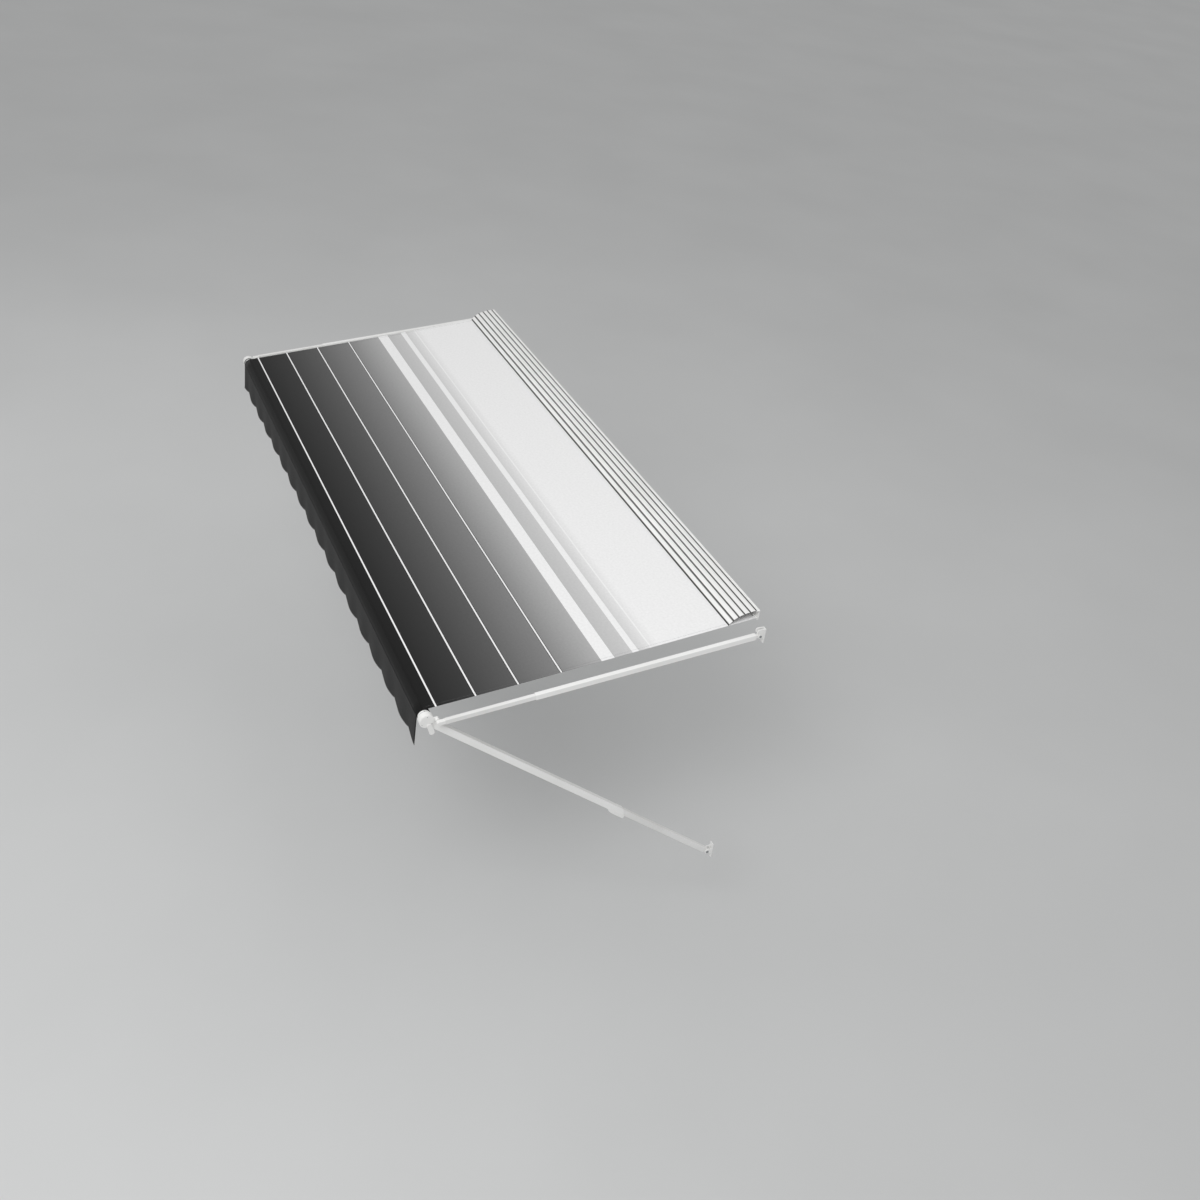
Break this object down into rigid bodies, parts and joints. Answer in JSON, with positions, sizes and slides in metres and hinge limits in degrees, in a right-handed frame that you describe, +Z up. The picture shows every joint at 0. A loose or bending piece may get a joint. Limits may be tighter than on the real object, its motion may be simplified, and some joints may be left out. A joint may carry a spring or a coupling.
{
  "type": "roll out awning",
  "caption": "Roll-out caravan awning, opened out: striped canopy on a sprung roller, scalloped valance, telescoping arms and rafters, and a slatted shield along the wall rail.",
  "frame": {"origin": "centre of the wall rail's back face, on the wall plane", "axes": "X along the rail, -Y out from the wall, +Z up"},
  "size_m": [5.6352, 2.4762, 2.3136],
  "materials": {
    "white_paint": "smooth",
    "cast_paint": "satin",
    "inner_paint": "smooth",
    "plain_aluminium": "mill",
    "zinc_steel": "zinc plated",
    "spring_steel": "oiled",
    "striped_cloth": "striped and faded",
    "dark_cloth": "woven",
    "polyester_rope": "braided",
    "black_nylon": "moulded"
  },
  "bodies": {
    "wall_rail": {"awning_rail": "white_paint", "rail_screws": "zinc_steel", "canopy_bead": "polyester_rope", "canopy": "striped_cloth", "top_bracket_right": "cast_paint", "bottom_bracket_right": "cast_paint", "rafter_pin_right": "zinc_steel", "foot_pin_right": "zinc_steel", "top_bracket_left": "cast_paint", "bottom_bracket_left": "cast_paint", "rafter_pin_left": "zinc_steel", "foot_pin_left": "zinc_steel"},
    "slat_1": {"shield_slat_1": "white_paint"},
    "slat_2": {"shield_slat_2": "white_paint"},
    "slat_3": {"shield_slat_3": "white_paint"},
    "slat_4": {"shield_slat_4": "white_paint"},
    "slat_5": {"shield_slat_5": "white_paint"},
    "roller": {"roller_tube": "white_paint", "groove_ropes": "polyester_rope", "tube_plug_right": "plain_aluminium", "tube_plug_left": "plain_aluminium", "rod_bushes": "black_nylon", "spring_plugs": "plain_aluminium", "ratchet_wheel": "zinc_steel", "canopy_wrap": "dark_cloth"},
    "valance_drop": {"valance": "dark_cloth"},
    "arm_upper_right": {"head_casting_right": "cast_paint", "head_cover_right": "cast_paint", "cover_screws_right": "zinc_steel", "torsion_rod_right": "zinc_steel", "torsion_spring_right": "spring_steel", "outer_arm_right": "white_paint", "handle_pin_right": "zinc_steel"},
    "arm_lower_right": {"inner_arm_right": "inner_paint", "arm_foot_right": "cast_paint"},
    "handle_right": {"lift_handle_right": "cast_paint"},
    "rafter_right": {"rafter_outer_right": "white_paint", "rafter_eye_right": "cast_paint"},
    "rafter_slide_right": {"rafter_inner_right": "inner_paint", "rafter_hook_right": "cast_paint"},
    "arm_upper_left": {"head_casting_left": "cast_paint", "head_cover_left": "cast_paint", "cover_screws_left": "zinc_steel", "torsion_rod_left": "zinc_steel", "torsion_spring_left": "spring_steel", "outer_arm_left": "white_paint", "handle_pin_left": "zinc_steel"},
    "arm_lower_left": {"inner_arm_left": "inner_paint", "arm_foot_left": "cast_paint"},
    "handle_left": {"lift_handle_left": "cast_paint"},
    "rafter_left": {"rafter_outer_left": "white_paint", "rafter_eye_left": "cast_paint"},
    "rafter_slide_left": {"rafter_inner_left": "inner_paint", "rafter_hook_left": "cast_paint"},
    "lock": {"lock_lever": "cast_paint", "lock_pawl": "zinc_steel"}
  },
  "joints": [
    {"name": "awning_fold", "type": "hinge", "parent": "wall_rail", "child": "arm_lower_right", "pos_m": [2.737, -0.045, -2.2083], "axis": [-1, 0, 0], "range_deg": [0, 51.4], "deforming": ["canopy"]},
    {"name": "arm_hinge_left", "type": "hinge", "parent": "wall_rail", "child": "arm_lower_left", "pos_m": [-2.737, -0.045, -2.2083], "axis": [-1, 0, 0], "range_deg": [0, 51.4]},
    {"name": "arm_slide_right", "type": "slide", "parent": "arm_lower_right", "child": "arm_upper_right", "axis": [0, 0.788, -0.6156], "range_m": [0, 0.9781]},
    {"name": "rafter_hinge_right", "type": "hinge", "parent": "wall_rail", "child": "rafter_right", "pos_m": [2.7976, -0.035, -0.0983], "axis": [1, 0, 0], "range_deg": [0, 83.56]},
    {"name": "rafter_slide_right", "type": "slide", "parent": "rafter_right", "child": "rafter_slide_right", "axis": [0, 0.9936, 0.1131], "range_m": [0, 0.5705]},
    {"name": "arm_slide_left", "type": "slide", "parent": "arm_lower_left", "child": "arm_upper_left", "axis": [0, 0.788, -0.6156], "range_m": [0, 0.9781]},
    {"name": "rafter_hinge_left", "type": "hinge", "parent": "wall_rail", "child": "rafter_left", "pos_m": [-2.7976, -0.035, -0.0983], "axis": [1, 0, 0], "range_deg": [0, 83.56]},
    {"name": "rafter_slide_left", "type": "slide", "parent": "rafter_left", "child": "rafter_slide_left", "axis": [0, 0.9936, 0.1131], "range_m": [0, 0.5705]},
    {"name": "roller_turn", "type": "hinge", "parent": "arm_upper_right", "child": "roller", "pos_m": [0, -2.40096, -0.36766], "axis": [1, 0, 0], "continuous": true},
    {"name": "valance_hang", "type": "hinge", "parent": "arm_upper_right", "child": "valance_drop", "pos_m": [0, -2.40096, -0.36766], "axis": [1, 0, 0], "range_deg": [0, 51.45]},
    {"name": "shield_curl", "type": "hinge", "parent": "wall_rail", "child": "slat_1", "pos_m": [0, -0.023, 0.0333], "axis": [1, 0, 0], "range_deg": [0, 48]},
    {"name": "slat_hinge_2", "type": "hinge", "parent": "slat_1", "child": "slat_2", "pos_m": [0, -0.06866, 0.0277], "axis": [1, 0, 0], "range_deg": [-6, 0]},
    {"name": "slat_hinge_3", "type": "hinge", "parent": "slat_2", "child": "slat_3", "pos_m": [0, -0.11381, 0.01892], "axis": [1, 0, 0], "range_deg": [-6, 0]},
    {"name": "slat_hinge_4", "type": "hinge", "parent": "slat_3", "child": "slat_4", "pos_m": [0, -0.15731, 0.00394], "axis": [1, 0, 0], "range_deg": [-6, 0]},
    {"name": "slat_hinge_5", "type": "hinge", "parent": "slat_4", "child": "slat_5", "pos_m": [0, -0.19674, -0.01975], "axis": [1, 0, 0], "range_deg": [-6, 0]},
    {"name": "lift_handle_right", "type": "hinge", "parent": "arm_upper_right", "child": "handle_right", "pos_m": [2.737, -0.86276, -1.61002], "axis": [1, 0, 0], "range_deg": [0, 26], "stiffness_Nm_per_rad": 0.6, "springref_deg": -20.05},
    {"name": "lift_handle_left", "type": "hinge", "parent": "arm_upper_left", "child": "handle_left", "pos_m": [-2.737, -0.86276, -1.61002], "axis": [1, 0, 0], "range_deg": [0, 26], "stiffness_Nm_per_rad": 0.6, "springref_deg": -20.05},
    {"name": "lock_lever", "type": "hinge", "parent": "arm_upper_right", "child": "lock", "pos_m": [2.737, -2.38725, -0.39457], "axis": [-1, 0, 0], "range_deg": [0, 35]}
  ],
  "couplings": [
    {"joint": "arm_hinge_left", "follows": "awning_fold", "ratio": 1},
    {"joint": "arm_slide_right", "follows": "awning_fold", "m_per_rad": 1.0897},
    {"joint": "rafter_hinge_right", "follows": "awning_fold", "ratio": 1.6245},
    {"joint": "rafter_slide_right", "follows": "awning_fold", "m_per_rad": 0.63536},
    {"joint": "arm_slide_left", "follows": "awning_fold", "m_per_rad": 1.0897},
    {"joint": "rafter_hinge_left", "follows": "awning_fold", "ratio": 1.6245},
    {"joint": "rafter_slide_left", "follows": "awning_fold", "m_per_rad": 0.63536},
    {"joint": "roller_turn", "follows": "awning_fold", "ratio": 59.097},
    {"joint": "valance_hang", "follows": "awning_fold", "ratio": 1},
    {"joint": "slat_hinge_2", "follows": "shield_curl", "ratio": -0.10417},
    {"joint": "slat_hinge_3", "follows": "shield_curl", "ratio": -0.10417},
    {"joint": "slat_hinge_4", "follows": "shield_curl", "ratio": -0.10417},
    {"joint": "slat_hinge_5", "follows": "shield_curl", "ratio": -0.10417}
  ]
}
